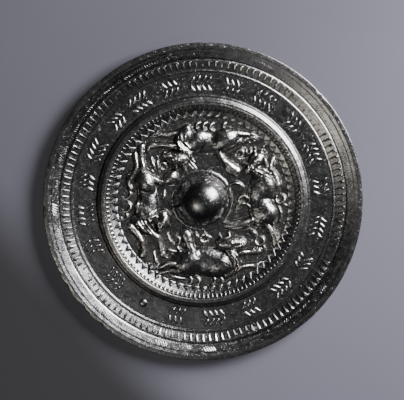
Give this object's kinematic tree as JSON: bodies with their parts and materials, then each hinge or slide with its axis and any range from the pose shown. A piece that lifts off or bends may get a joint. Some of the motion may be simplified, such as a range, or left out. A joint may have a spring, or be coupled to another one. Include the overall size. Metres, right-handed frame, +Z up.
{
  "type": "ancient bronze mirror",
  "caption": "Round cast bronze mirror lying on its polished face; the back has a domed cord knob, running beasts in relief, a stroke band and toothed rings.",
  "frame": {"origin": "middle of the polished face, which is the underside", "axes": "+Z up out of the decorated back; +Y towards the top of the back as it is usually read; +X to the right"},
  "size_m": [0.18, 0.18, 0.0159],
  "materials": {
    "dark_bronze": "dark silvery-black high-tin bronze, worn bright on high points, dusty brown-olive in the hollows, a few green spots"
  },
  "bodies": {
    "root": {"bronze_mirror": "dark_bronze"}
  },
  "joints": []
}
